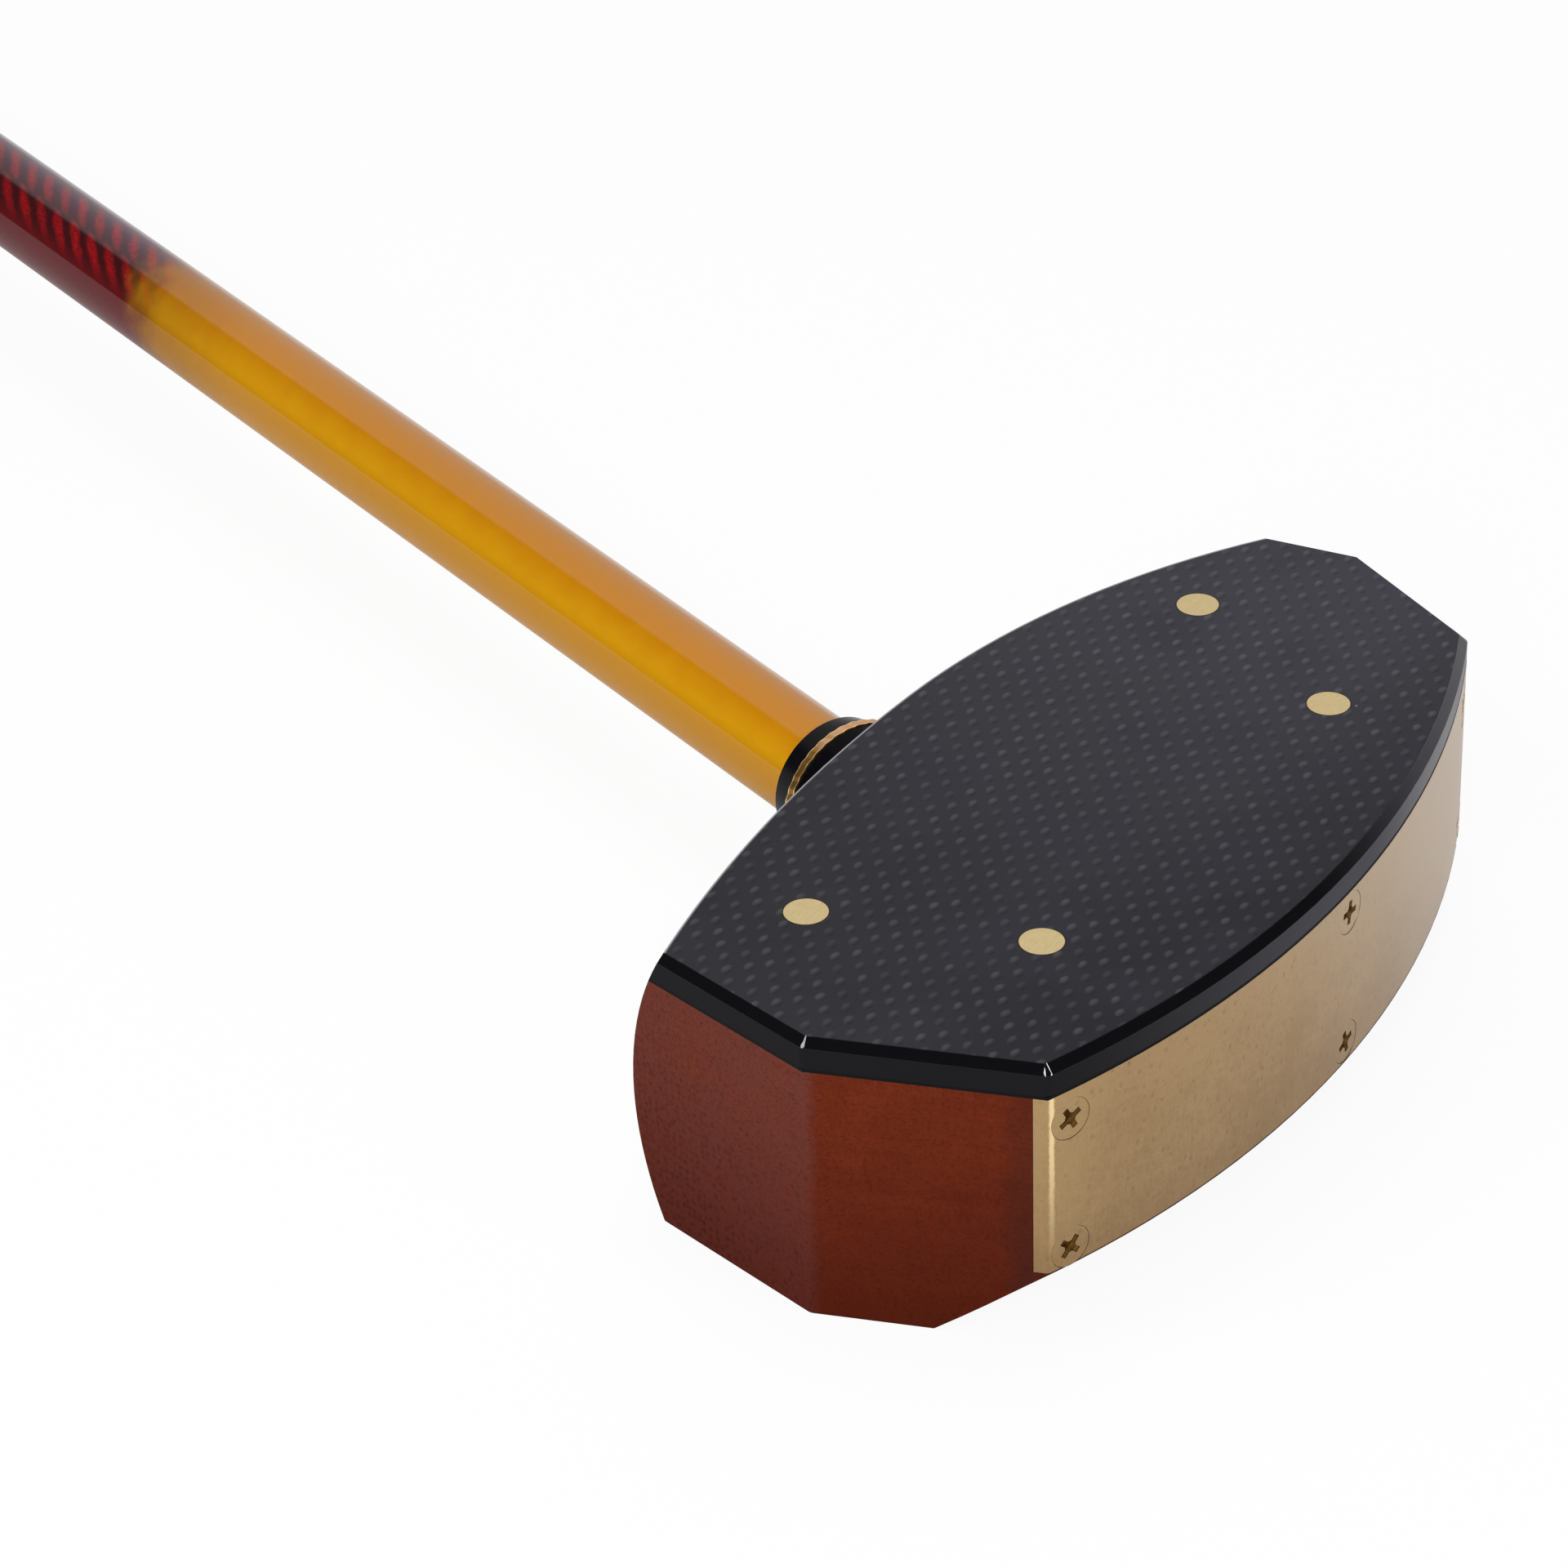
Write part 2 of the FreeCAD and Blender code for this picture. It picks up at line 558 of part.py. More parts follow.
# Trim rings where the shaft enters the crown
def makeTrimRings():
    inner = "shaftRadius + glueGap"
    lower = newBody("lower_ring", shaftPlace)
    turned(lower, [(inner, "0"), ("ringRadius", "0"), ("ringRadius", "lowerRingLength - ringEdge"),
                   ("ringRadius - ringEdge", "lowerRingLength"), (inner, "lowerRingLength")],
           {2: "ringEdge"})

    gold = newBody("gold_ring", shaftPlace)
    outer = "ringRadius + goldStep"
    turned(gold, [(inner, "lowerRingLength"), (outer, "lowerRingLength"), (outer, "ringTop"),
                  (inner, "ringTop")])
    notch = newSketch(gold, "XZ_Plane",
                      "placement(vector(0; 0; goldRingLength - ringTop - overrun); "
                      "rotation(vector(1; 0; 0); facetLean))")
    mouthHalf = "facetHalf * (facetDepth + overrun) / facetDepth"
    addOutline(notch, [(f"{outer} - facetDepth", "0"), (f"{outer} + overrun", f"-({mouthHalf})"),
                       (f"{outer} + overrun", mouthHalf)])
    facet = pocketed(gold, notch, "goldRingLength + 4 * overrun")
    facet.Midplane = True
    facets = gold.newObject("PartDesign::PolarPattern", "Facets")
    facets.Originals = [facet]
    facets.Axis = (originFeature(gold, "Y_Axis"), [""])
    facets.Angle = 360
    facets.Occurrences = facetCount
    gold.Tip = facets

    collar = newBody("upper_collar", shaftPlace)
    top = "ringTop + collarLength"
    turned(collar, [(inner, "ringTop"), ("collarRadius", "ringTop"),
                    ("collarTopRadius", f"{top} - ringEdge"), ("collarTopRadius - ringEdge", top),
                    (inner, top)], {2: "ringEdge"})


# Shaft, a tapered tube, and the plug in its lower end
def makeShaft():
    turned(newBody("shaft", shaftPlace),
           [("tipBore", "-shaftInsert"), ("shaftRadius", "-shaftInsert"), ("shaftRadius", "parallelReach"),
            ("shaftButtRadius", "sleeveEnd"), ("buttBore", "sleeveEnd"), ("tipBore", "parallelReach")])
    plug = "tipBore - glueGap"
    plugEnd = "plugLength - shaftInsert"
    turned(newBody("tip_plug", shaftPlace),
           [("0", "-shaftInsert"), (plug, "-shaftInsert"), (plug, plugEnd), ("0", plugEnd)])


# Grip: tape, rubber sleeve, trim ring and butt cap
def makeGrip():
    turned(newBody("grip_tape", shaftPlace),
           [("shaftAtSleeve + glueGap", "sleeveStart"),
            ("shaftAtSleeve + glueGap + tapeThick", "sleeveStart"),
            ("shaftButtRadius + glueGap + tapeThick", "sleeveEnd"),
            ("shaftButtRadius + glueGap", "sleeveEnd")])
    turned(newBody("grip_sleeve", shaftPlace),
           [("shaftAtSleeve + sleeveGap", "sleeveStart"), ("gripMouthRadius - gripEdge", "sleeveStart"),
            ("gripMouthRadius", "sleeveStart + gripEdge"), ("waistRadius", "sleeveStart + gripLength / 2"),
            ("gripButtRadius", "sleeveEnd - gripEdge"), ("gripButtRadius - gripEdge", "sleeveEnd"),
            ("shaftButtRadius + sleeveGap", "sleeveEnd")])
    proud = "gripMouthRadius + gripRingProud"
    turned(newBody("grip_ring", shaftPlace),
           [("shaftAtSleeve + glueGap", "gripRingStart"),
            (f"{proud} - gripRingTaper - ringEdge", "gripRingStart"),
            (f"{proud} - gripRingTaper", "gripRingStart + ringEdge"),
            (proud, "sleeveStart - ringEdge"), (f"{proud} - ringEdge", "sleeveStart"),
            ("shaftAtSleeve + glueGap", "sleeveStart")],
           {1: "ringEdge", 3: "ringEdge"})
    turned(newBody("grip_cap", shaftPlace),
           [("ventRadius", "sleeveEnd - spigotLength"), ("spigotRadius", "sleeveEnd - spigotLength"),
            ("spigotRadius", "sleeveEnd"), ("capRadius - ringEdge", "sleeveEnd"),
            ("capRadius", "sleeveEnd + ringEdge"), ("capRadius", "clubReach - capEdge"),
            ("capRadius - capEdge", "clubReach"), ("ventRadius", "clubReach")],
           {3: "ringEdge", 5: "capEdge"})


makeHeadBlock()
makeBackingSheet()
makeFacePlate()
makeFacePins()
makeSolePlate()
makeSoleScrews()
makeWeights()
makeTrimRings()
makeShaft()
makeGrip()
doc.recompute()

# Every object has to be sound before anything is written
faults = [f"{item.Label}: {item.State}" for item in doc.Objects
          if "Invalid" in item.State or "Error" in item.State]
faults += [f"{item.Label}: not fully constrained" for item in doc.Objects
           if item.isDerivedFrom("Sketcher::SketchObject") and not item.FullyConstrained]
faults += [f"{body.Label}: shape" for body in bodies
           if body.Shape.isNull() or not body.Shape.isValid() or len(body.Shape.Solids) != 1]
if faults:
    raise RuntimeError("; ".join(faults))

os.makedirs("parts", exist_ok=True)
for body in bodies:
    body.Shape.exportStep(f"parts/{body.Label}.step")
    print(f"{body.Label}: {body.Shape.Volume:.1f} cubic mm, {len(body.Shape.Faces)} faces")
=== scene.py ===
import json
import math

import bpy
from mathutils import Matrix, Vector


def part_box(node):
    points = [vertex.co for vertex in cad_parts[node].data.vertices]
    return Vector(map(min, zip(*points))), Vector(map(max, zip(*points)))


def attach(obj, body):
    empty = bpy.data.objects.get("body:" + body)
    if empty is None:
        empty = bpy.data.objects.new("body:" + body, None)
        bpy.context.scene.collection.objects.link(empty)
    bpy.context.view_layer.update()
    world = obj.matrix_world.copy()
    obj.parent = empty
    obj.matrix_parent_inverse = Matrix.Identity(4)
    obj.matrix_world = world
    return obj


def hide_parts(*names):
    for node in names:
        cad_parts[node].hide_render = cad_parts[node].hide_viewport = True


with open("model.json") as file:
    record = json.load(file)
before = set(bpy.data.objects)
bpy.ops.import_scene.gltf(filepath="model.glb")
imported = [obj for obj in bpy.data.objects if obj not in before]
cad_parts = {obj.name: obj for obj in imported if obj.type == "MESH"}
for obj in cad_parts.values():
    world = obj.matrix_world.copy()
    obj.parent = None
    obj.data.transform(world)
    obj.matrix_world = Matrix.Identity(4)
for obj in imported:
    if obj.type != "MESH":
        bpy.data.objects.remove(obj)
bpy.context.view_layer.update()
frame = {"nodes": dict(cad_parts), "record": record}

nodes = frame["nodes"]
print("stage: part loaded,", len(nodes), "nodes")


def paint(red, green, blue):  # colour as a paint program shows it, 0 to 255
    def straight(level):
        level /= 255
        return level / 12.92 if level <= 0.04045 else ((level + 0.055) / 1.055) ** 2.4
    return (straight(red), straight(green), straight(blue), 1.0)


class Wire:  # one output of a node, ready for sums
    def __init__(self, board, socket):
        self.board = board
        self.socket = socket

    def sum(self, operation, *values):
        return self.board.add("Math", {"operation": operation}, values)

    def __add__(self, other):
        return self.sum("ADD", self, other)

    def __radd__(self, other):
        return self.sum("ADD", other, self)

    def __sub__(self, other):
        return self.sum("SUBTRACT", self, other)

    def __rsub__(self, other):
        return self.sum("SUBTRACT", other, self)

    def __mul__(self, other):
        return self.sum("MULTIPLY", self, other)

    def __rmul__(self, other):
        return self.sum("MULTIPLY", other, self)

    def __truediv__(self, other):
        return self.sum("DIVIDE", self, other)

    def __pow__(self, other):
        return self.sum("POWER", self, other)

    def __abs__(self):
        return self.sum("ABSOLUTE", self)

    def whole(self):
        return self.sum("FLOOR", self)

    def rest(self):  # what is left over a whole number
        return self.sum("FRACT", self)

    def wave(self):
        return self.sum("SINE", self)

    def least(self, other):
        return self.sum("MINIMUM", self, other)


class Board:  # the nodes of one material or of the world
    def __init__(self, tree):
        self.tree = tree
        tree.nodes.clear()

    def add(self, kind, settings=None, values=(), give=0):  # any node, with one of its outputs
        node = self.tree.nodes.new("ShaderNode" + kind)
        for name, setting in (settings or {}).items():
            setattr(node, name, setting)
        pairs = values.items() if isinstance(values, dict) else enumerate(values)
        for place, value in pairs:
            if isinstance(value, Wire):
                self.tree.links.new(value.socket, node.inputs[place])
            else:
                node.inputs[place].default_value = value
        return Wire(self, node.outputs[give]) if len(node.outputs) else None

    def place(self):  # place on the object, in millimetres
        inMetres = self.add("TexCoord", give=3)
        return self.add("VectorMath", {"operation": "SCALE"}, {0: inMetres, "Scale": 1000.0})

    def stretch(self, vector, factors):
        return self.add("VectorMath", {"operation": "MULTIPLY"}, [vector, factors])

    def shift(self, vector, step):
        return self.add("VectorMath", {"operation": "ADD"}, [vector, step])

    def along(self, vector, direction):  # how far a place lies in one direction
        return self.add("VectorMath", {"operation": "DOT_PRODUCT"}, [vector, direction], give=1)

    def split(self, vector):
        node = self.add("SeparateXYZ", values=[vector]).socket.node
        return [Wire(self, output) for output in node.outputs]

    def join(self, x, y, z):
        return self.add("CombineXYZ", values=[x, y, z])

    def noise(self, vector, scale, detail=2.0, rough=0.5):
        return self.add("TexNoise", None,
                        {"Vector": vector, "Scale": scale, "Detail": detail, "Roughness": rough})

    def cells(self, vector, scale, loose=0.7):  # distance from the middle of the nearest cell
        return self.add("TexVoronoi", None, {"Vector": vector, "Scale": scale, "Randomness": loose})

    def chance(self, x, y):  # one random number for each cell
        return self.add("TexWhiteNoise", None, [self.join(x, y, 0.5)])

    def ease(self, value, start, end, low=0.0, high=1.0):  # smooth step from low to high
        return self.add("MapRange", {"interpolation_type": "SMOOTHSTEP"},
                        {"Value": value, "From Min": start, "From Max": end, "To Min": low, "To Max": high})

    def sector(self, angle, span):  # smooth step between two angles in degrees
        return self.ease(angle, math.radians(span[0]), math.radians(span[1]))

    def blend(self, factor, first, second):
        return self.add("Mix", {"data_type": "RGBA"}, {0: factor, 6: first, 7: second}, give=2)

    def dent(self, height, depth, strength=1.0):  # bump from a height, depth in millimetres
        return self.add("Bump", None, {"Strength": strength, "Distance": depth / 1000, "Height": height})

    def surface(self, values):
        shader = self.add("BsdfPrincipled", None, values)
        self.add("OutputMaterial", None, [shader])


def newMaterial(name):
    material = bpy.data.materials.new(name)
    material.use_nodes = True
    return material, Board(material.node_tree)


def dress(material, *names):
    for name in names:
        slots = nodes[name].data.materials
        for i in range(len(slots)):
            slots[i] = material
        if not slots:
            slots.append(material)


# Corners of the head's outline, and its highest and lowest points, in mm, seen square to the face
head = {
    "toe": (-56.9, -1.6), "toeTop": (-53.4, 19.4), "toeSole": (-46.6, -25.3),
    "heelTop": (56.0, 12.8), "heelSole": (49.9, -17.0), "crown": (3.2, 27.95), "sole": (-8.5, -31.16),
}


def arcRadius(level, end):  # radius of an arc that is level at one point and reaches another
    run, rise = end[0] - level[0], abs(end[1] - level[1])
    return (run * run + rise * rise) / (2 * rise)


def behindFacet(board, place, low, high):  # depth behind the upright facet between two corners
    run, rise = high[0] - low[0], high[1] - low[1]
    length = math.hypot(run, rise)
    outward = (-rise / length, run / length, 0.0)
    return outward[0] * low[0] + outward[1] * low[1] - board.along(place, outward)


# Wooden head: red-brown stain, with painted shade darker at the back, darker beside the brass, and pores on
# the upper toe facet, whose colour also carries a painted whitish reflection
wood = {
    "warm": paint(118, 50, 28), "middle": paint(101, 40, 22), "deep": paint(78, 28, 17),
    "pore": paint(52, 17, 12), "stain": paint(62, 32, 27),
    # endGrainSheen: the end grain's colour with a painted whitish reflection; endGrainShade: its copy for
    # the painted shade at the back
    "endGrainSheen": paint(108, 64, 58), "endGrainShade": paint(84, 38, 33),
    "poreSpacing": 1.0, "poreLong": 5.0, "toeCoat": 0.02, "crownCoat": 0.4,
    "backShadeHeights": (33.0, 3.0),  # heights above the back between which painted shade darkens it
    "stainStart": (-18.8, -21.6),  # heights between which the stain beside the brass sets in
    "stainFade": (27.0, 12.0),  # heights above the back between which that stain grows
    "coatFade": (3.0, 11.0),  # heights above the back between which the lacquer sets in
}


def makeWood():
    material, board = newMaterial("lacqueredWood")
    place = board.place()
    y, z = board.split(place)[1:]
    behindUpper = behindFacet(board, place, head["toe"], head["toeTop"])
    behindLower = behindFacet(board, place, head["toeSole"], head["toe"])
    cloud = board.noise(place, 0.11, 3.0, 0.6)
    upper = board.ease(behindUpper + cloud * 1.2, 1.6, 0.3)
    mottle = board.noise(board.stretch(place, (0.8, 0.8, 0.45)), 0.9, 4.0, 0.65)
    flecks = board.noise(board.stretch(place, (1.0, 1.0, 0.4)), 2.6, 3.0, 0.7)
    speck = board.noise(board.stretch(place, (1.0, 1.0, 1.3)), 2.2, 3.0, 0.65)
    layers = board.noise(board.stretch(place, (0.05, 0.05, 1.0)), 0.9, 3.0, 0.6)
    fibres = board.noise(board.stretch(place, (0.06, 1.0, 1.0)), 2.6, 3.0, 0.6)
    # The stain; its z term is painted shade, darker towards the back
    tone = cloud * 0.42 + mottle * 0.24 + layers * 0.30 + flecks * 0.34 + z * 0.004 - 0.22
    colour = board.blend(board.ease(tone, 0.18, 0.50), wood["deep"], wood["middle"])
    colour = board.blend(board.ease(tone, 0.48, 0.78), colour, wood["warm"])
    colour = board.blend(board.ease(fibres, 0.55, 0.75, 0.0, 0.30), colour, wood["pore"])
    # The upper toe facet: partly its end-grain colour, partly a painted whitish reflection
    colour = board.blend(upper * 0.62, colour, wood["endGrainSheen"])
    # Painted shade: darker towards the back, where the head lies near the floor
    backShadeTone = board.blend(upper * 0.7, wood["deep"], wood["endGrainShade"])
    colour = board.blend(board.ease(z + cloud * 9.0, *wood["backShadeHeights"], 0.0, 0.75), colour, backShadeTone)
    nearSole = board.ease(y + cloud * 3.0, *wood["stainStart"], 0.0, 0.60)
    nearSole = nearSole * board.ease(z, *wood["stainFade"], 0.6, 1.0)
    colour = board.blend(nearSole, colour, wood["stain"])
    # Pores and specks
    pits = board.cells(board.stretch(place, (1 / wood["poreLong"], 1.15, 1.0)), 1 / wood["poreSpacing"], 0.6)
    onEnd = upper * board.ease(y * 0.015 - z * 0.04 + cloud * 0.8, -0.75, 0.35, 0.15, 1.0)
    pit = board.ease(pits, 0.50, 0.14) * onEnd
    colour = board.blend(pit * 0.40, colour, wood["pore"])
    colour = board.blend(board.ease(speck, 0.48, 0.70, 0.0, 0.36), colour, wood["pore"])
    # The lacquer
    nearToe = board.ease(behindUpper.least(behindLower), 3.0, 0.5)
    coat = wood["crownCoat"] + nearToe * (wood["toeCoat"] - wood["crownCoat"])
    height = fibres * 0.25 + mottle * 0.25 + speck * 0.3 - pit
    board.surface({"Base Color": colour, "Roughness": 0.48 + fibres * 0.12, "Specular IOR Level": 0.0,
                   "Coat Weight": coat * board.ease(z, *wood["coatFade"], 0.15, 1.0), "Coat Roughness": 0.10,
                   "Normal": board.dent(height, 0.05, 0.4)})
    return material


dress(makeWood(), "head_block")
print("stage: wood")

# Face plate of woven laminate under clear resin, and the fibre sheet behind it
weave = {
    "resin": paint(38, 38, 42), "cloud": paint(47, 47, 52), "violet": paint(46, 45, 55),
    "heelResinReflection": paint(61, 60, 67), "soleResin": paint(30, 30, 34), "dust": paint(150, 148, 150),
    "strand": paint(73, 73, 79), "heelStrandReflection": paint(85, 84, 91), "hollow": paint(22, 22, 26),
    "crownHighlight": paint(150, 150, 155), "crownHighlightFrom": 0.30, "crownHighlightFull": 0.08, "edge": paint(8, 8, 11),
    "wall": paint(21, 20, 24), "heelWallReflection": paint(80, 80, 87), "farWallReflection": paint(156, 154, 158),
    "fibre": paint(9, 9, 10), "fibreFuzz": paint(17, 16, 17),
    "pitchX": 1.68, "pitchY": 1.592, "startX": 2.6, "startY": -0.25,
    "dotLong": 0.39, "dotShort": 0.25, "dotLean": 0.22, "bevel": 1.0, "faceCoat": 0.22, "wallCoat": 0.15,
    # Places in mm between which a colour changes towards the heel or the sole; the change towards the heel
    # is a painted reflection
    "resinToHeel": (-40.0, 60.0), "resinToSole": (-4.0, -27.0), "strandToHeel": (-25.0, 50.0),
    "wallToHeel": (-50.0, 14.0), "wallToFar": (6.0, 38.0), "bevelToHeel": (-6.0, 36.0),
}
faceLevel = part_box("face_plate")[1].z * 1000


def faceResin(board, place, x, y):  # clouded dark resin, lighter at the heel as a painted reflection, and darker at the sole
    cloud = board.noise(place, 0.09, 3.0, 0.6)
    resin = board.blend(cloud, weave["resin"], weave["cloud"])
    resin = board.blend(board.ease(x, *weave["resinToHeel"], 0.0, 0.9), resin, weave["heelResinReflection"])
    nearSole = board.ease(y + cloud * 3.0, *weave["resinToSole"], 0.0, 0.5)
    resin = board.blend(nearSole, resin, weave["soleResin"])
    tint = board.ease(board.noise(place, 0.06, 2.0), 0.45, 0.7, 0.0, 0.45)
    return board.blend(tint, resin, weave["violet"])


def faceDots(board, place, wobble, x, y, resin):  # the weave's crossings in slanting rows, each with a painted highlight on one side and a painted shadow beside it
    drift = board.noise(place, 0.16, 1.0) - 0.5
    column = (x - weave["startX"] + drift * 0.5 + wobble * 0.22) / weave["pitchX"]
    row = (y - weave["startY"] - drift * 0.4 - wobble * 0.18) / weave["pitchY"]
    rising = (column + row) * 0.5 + 0.5
    falling = (column - row) * 0.5 + 0.5
    offRising, offFalling = rising.rest() - 0.5, falling.rest() - 0.5
    across, up = offRising + offFalling, offRising - offFalling
    slanted = across - up * weave["dotLean"]
    reach = (abs(slanted) / weave["dotLong"]) ** 1.8 + (abs(up) / weave["dotShort"]) ** 1.8
    dot = board.ease(reach, 1.9, 0.0) * (0.35 + board.chance(rising.whole(), falling.whole()) * 0.65)
    # Painted reflection: the crossings lighter towards the heel
    toHeel = board.ease(x + y * 0.6, *weave["strandToHeel"])
    strand = board.blend(toHeel, weave["strand"], weave["heelStrandReflection"])
    # Painted shadow beside each crossing
    hollow = (abs(slanted + 0.10) / 0.34) ** 2.0 + (abs(up + 0.30) / 0.22) ** 2.0
    colour = board.blend(board.ease(hollow, 1.6, 0.0, 0.0, 0.26), resin, weave["hollow"])
    # Painted highlight: each crossing lighter towards one side
    return board.blend(dot * (0.70 + up * 1.6 + across * 0.4), colour, strand)


def belowCrown(board, x, y):  # distance from the face's curved upper edge
    crownX, crownY = head["crown"]
    toeRadius = arcRadius(head["crown"], head["toeTop"])
    heelRadius = arcRadius(head["crown"], head["heelTop"])
    radius = board.ease(x, crownX - 0.1, crownX + 0.1, toeRadius, heelRadius)
    fromX, fromY = x - crownX, y - crownY + radius
    return radius - (fromX * fromX + fromY * fromY) ** 0.5


def makeWeave():
    material, board = newMaterial("wovenLaminate")
    place = board.place()
    x, y, z = board.split(place)
    wobble = board.noise(place, 0.8, 2.0) - 0.5
    colour = faceDots(board, place, wobble, x, y, faceResin(board, place, x, y))
    colour = board.blend(board.ease(board.cells(place, 0.14, 1.0), 0.022, 0.012), colour, weave["dust"])
    # Painted highlight along the face's curved upper edge
    crownHighlight = board.ease(belowCrown(board, x, y), weave["crownHighlightFrom"], weave["crownHighlightFull"])
    colour = board.blend(crownHighlight, colour, weave["crownHighlight"])
    # The bevel round the face and the wall below it, both lighter towards the heel as a painted reflection
    bevelFoot = faceLevel - weave["bevel"]
    onFace = board.ease(z, faceLevel - 0.09, faceLevel - 0.02)
    onBevel = board.ease(z, bevelFoot - 0.05, bevelFoot + 0.03) * (1 - onFace)
    wall = board.blend(board.ease(x, *weave["wallToHeel"]), weave["wall"], weave["heelWallReflection"])
    wall = board.blend(board.ease(x, *weave["wallToFar"]), wall, weave["farWallReflection"])
    toHeel = board.ease(x + wobble * 4.0, *weave["bevelToHeel"], 0.0, 0.68)
    bevel = board.blend(toHeel, weave["edge"], weave["heelWallReflection"])
    colour = board.blend(onFace, board.blend(onBevel, wall, bevel), colour)
    onWall = weave["wallCoat"]
    coat = onWall + onBevel * (1.0 - onWall) + onFace * (weave["faceCoat"] - onWall)
    board.surface({"Base Color": colour, "Roughness": 0.37 + wobble * 0.06, "Specular IOR Level": 0.0,
                   "Coat Weight": coat, "Coat Roughness": 0.04})
    return material


def makeFibre():
    material, board = newMaterial("blackFibre")
    fuzz = board.noise(board.place(), 6.0, 2.0)
    board.surface({"Base Color": board.blend(fuzz, weave["fibre"], weave["fibreFuzz"]), "Roughness": 0.7,
                   "Specular IOR Level": 0.1, "Normal": board.dent(fuzz, 0.02, 0.3)})
    return material


dress(makeWeave(), "face_plate")
dress(makeFibre(), "backing_sheet")
print("stage: face")

# Brass: satin sole plate, ground pins and screws, turned weights
brass = {
    "sole": paint(172, 142, 102), "soleDark": paint(149, 120, 84), "speck": paint(122, 95, 66),
    # sheen and toeSheen are painted reflections
    "sheen": paint(196, 178, 158), "toeSheen": paint(188, 158, 110),
    "toeEdgeHighlight": paint(252, 227, 170), "toeCorner": (-46.15, -25.4),  # the middle of the painted highlight along the plate's toe-end edge
    "pin": paint(230, 208, 156), "pinDark": paint(222, 199, 146), "seam": paint(84, 62, 34),
    # recess colours: painted shade, darker deeper in
    "recess": paint(152, 116, 58), "deepRecessShade": paint(112, 80, 34),
    "screwX": {"toe": -43.8, "middle": 3.0, "heel": 47.3},
    "slug": paint(206, 168, 104), "slugDark": paint(176, 140, 80),
    # Places in mm between which a colour sets in
    "toeSheenAlong": (-36.0, -47.0), "toeSheenHeight": (2.0, 26.0), "heelSheen": (4.0, 68.0),
    "toeEdgeHighlightWide": (0.78, 0.46), "toeEdgeHighlightHeight": (8.0, 30.0),
}


def satin(board, place):  # colour and height of the ground surface that plate and screws share, with painted light: lighter towards the top, the toe and the heel
    x, _, z = board.split(place)
    lines = board.noise(board.stretch(place, (1.0, 1.0, 0.12)), 3.2, 3.0, 0.6)
    pits = board.cells(board.stretch(place, (1.0, 1.0, 0.8)), 0.85, 1.0)
    grit = board.noise(board.stretch(place, (1.0, 1.0, 0.7)), 2.6, 3.0, 0.7)
    cloud = board.noise(place, 0.1, 2.0)
    mottle = board.noise(board.stretch(place, (0.6, 0.6, 1.0)), 1.1, 3.0, 0.7)
    # The z term is painted light, lighter towards the top
    tone = lines * 0.25 + grit * 0.20 + mottle * 0.30 + cloud * 0.35 + z * 0.012
    colour = board.blend(board.ease(tone, 0.58, 0.94), brass["soleDark"], brass["sole"])
    # Grit and pits
    colour = board.blend(board.ease(grit, 0.54, 0.70, 0.0, 0.34), colour, brass["speck"])
    pitted = board.ease(pits, 0.36, 0.10) * board.ease(mottle, 0.35, 0.65)
    colour = board.blend(pitted * 0.50, colour, brass["speck"])
    # Painted sheen: lighter at the toe and towards the heel
    nearToe = board.ease(x, *brass["toeSheenAlong"], 0.0, 0.34) * board.ease(z, *brass["toeSheenHeight"])
    colour = board.blend(nearToe, colour, brass["toeSheen"])
    colour = board.blend(board.ease(x + z, *brass["heelSheen"], 0.0, 0.8), colour, brass["sheen"])
    return colour, lines * 0.4 + grit * 0.8


def makeSoleBrass():
    material, board = newMaterial("satinBrass")
    place = board.place()
    x, y, z = board.split(place)
    colour, height = satin(board, place)
    fromX, fromY = x - brass["toeCorner"][0], y - brass["toeCorner"][1]
    fromCorner = (fromX * fromX + fromY * fromY) ** 0.5
    # Painted highlight along the toe-end edge, stronger towards the top
    toeEdgeHighlight = board.ease(fromCorner + height * 0.5, *brass["toeEdgeHighlightWide"])
    toeEdgeHighlight = toeEdgeHighlight * board.ease(z, *brass["toeEdgeHighlightHeight"], 0.0, 0.95)
    colour = board.blend(toeEdgeHighlight, colour, brass["toeEdgeHighlight"])
    board.surface({"Base Color": colour, "Metallic": 1.0, "Roughness": 0.30 + height * 0.12,
                   "Normal": board.dent(height, 0.02, 0.30)})
    return material


def pinPlace(name):  # a pin's middle and radius in mm
    low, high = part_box(name)
    return (low + high) / 2 * 1000, (high.x - low.x) / 2 * 1000


def makePinBrass():
    material, board = newMaterial("groundBrass")
    place = board.place()
    x, y = board.split(place)[:2]
    upperPin, pinRadius = pinPlace("face_pin_heel_upper")
    lowerPin = pinPlace("face_pin_heel_lower")[0]
    offX = abs(x) - board.ease(y, -1.0, 1.0, lowerPin.x, upperPin.x)
    offY = abs(y) - upperPin.y
    fromMiddle = (offX * offX + offY * offY) ** 0.5
    scratch = board.noise(board.stretch(place, (0.4, 2.2, 1.0)), 2.4, 4.0, 0.6)
    colour = board.blend(board.ease(scratch, 0.35, 0.65), brass["pinDark"], brass["pin"])
    colour = board.blend(board.ease(fromMiddle, pinRadius - 0.12, pinRadius - 0.03), colour, brass["seam"])
    board.surface({"Base Color": colour, "Metallic": 1.0, "Roughness": 0.34 + scratch * 0.10,
                   "Normal": board.dent(scratch, 0.01, 0.08)})
    return material


def squareOut(x):  # direction square out of the curved sole, at a place along it
    lowX = head["sole"][0]
    lean = (x - lowX) / arcRadius(head["sole"], head["toeSole"] if x < lowX else head["heelSole"])
    return Vector((lean, -math.sqrt(1 - lean * lean), 0.0))


